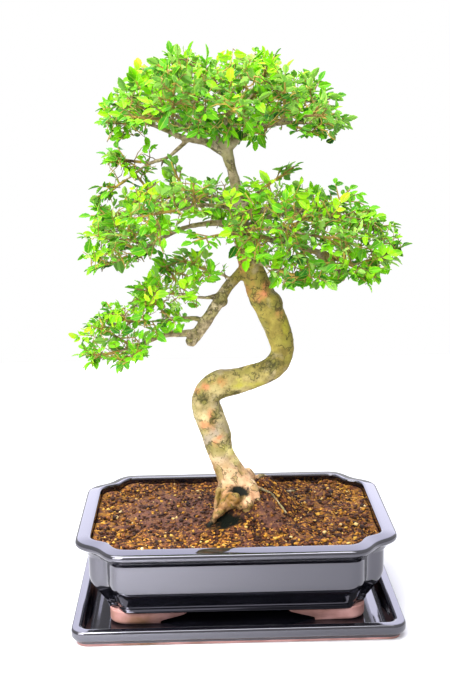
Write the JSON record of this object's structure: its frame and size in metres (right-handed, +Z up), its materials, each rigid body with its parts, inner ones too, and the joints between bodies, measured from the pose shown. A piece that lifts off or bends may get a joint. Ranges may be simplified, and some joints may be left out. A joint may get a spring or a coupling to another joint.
{
  "type": "bonsai tree",
  "caption": "Chinese elm bonsai with an S-bent trunk and layered foliage pads, in a glazed rectangular pot with indented corners and bracket feet, on a drip tray.",
  "frame": {"origin": "under the middle of the drip tray, on the surface that the tray stands on", "axes": "+Z up, +X to the right and +Y away from the viewer as seen from the front, where the trunk's S bend shows and the lowest limb grows to the left"},
  "size_m": [0.3306, 0.237, 0.5265],
  "materials": {
    "glaze": "black gloss glaze, unglazed pink-brown clay on the pot's feet and the tray's base band",
    "mesh_plastic": "moulded plastic drainage mesh",
    "soil": "loose red-brown bark and grit soil",
    "bark": "olive-tan flaking bark with salmon patches",
    "foliage": "waxy toothed leaves on thin orange-brown twigs"
  },
  "bodies": {
    "root": {"drip_tray": "glaze", "pot": "glaze", "drainage_mesh_left": "mesh_plastic", "drainage_mesh_right": "mesh_plastic", "soil": "soil", "trunk_and_branches": "bark", "spray_low_left_branch_1": "foliage", "spray_low_left_branch_2": "foliage", "spray_low_left_branch_3": "foliage", "spray_low_left_high_1": "foliage", "spray_low_left_high_2": "foliage", "spray_low_left_rear_1": "foliage", "spray_low_left_rear_2": "foliage", "spray_low_left_top_1": "foliage", "spray_mid_back_1": "foliage", "spray_mid_back_low_1": "foliage", "spray_mid_crown_1": "foliage", "spray_mid_front_1": "foliage", "spray_mid_front_2": "foliage", "spray_mid_left_back_1": "foliage", "spray_mid_left_front_1": "foliage", "spray_mid_left_front_2": "foliage", "spray_mid_left_high_1": "foliage", "spray_mid_left_high_2": "foliage", "spray_mid_left_high_3": "foliage", "spray_mid_left_low_1": "foliage", "spray_mid_left_low_2": "foliage", "spray_mid_left_low_3": "foliage", "spray_mid_low_1": "foliage", "spray_mid_right_back_1": "foliage", "spray_mid_right_front_1": "foliage", "spray_mid_right_front_2": "foliage", "spray_mid_right_high_1": "foliage", "spray_mid_right_high_2": "foliage", "spray_mid_right_high_3": "foliage", "spray_mid_right_low_1": "foliage", "spray_mid_right_low_2": "foliage", "spray_mid_right_low_3": "foliage", "spray_top_back_1": "foliage", "spray_top_front_1": "foliage", "spray_top_left_1": "foliage", "spray_top_left_2": "foliage", "spray_top_left_3": "foliage", "spray_top_left_back_1": "foliage", "spray_top_left_back_2": "foliage", "spray_top_left_front_1": "foliage", "spray_top_left_front_2": "foliage", "spray_top_left_leader_1": "foliage", "spray_top_left_leader_2": "foliage", "spray_top_right_1": "foliage", "spray_top_right_2": "foliage", "spray_top_right_3": "foliage", "spray_top_right_back_1": "foliage", "spray_top_right_front_1": "foliage", "spray_top_right_front_2": "foliage", "spray_top_right_leader_1": "foliage", "spray_top_right_leader_2": "foliage", "spray_top_right_leader_3": "foliage", "spray_under_left_1": "foliage", "spray_under_left_2": "foliage"}
  },
  "joints": []
}
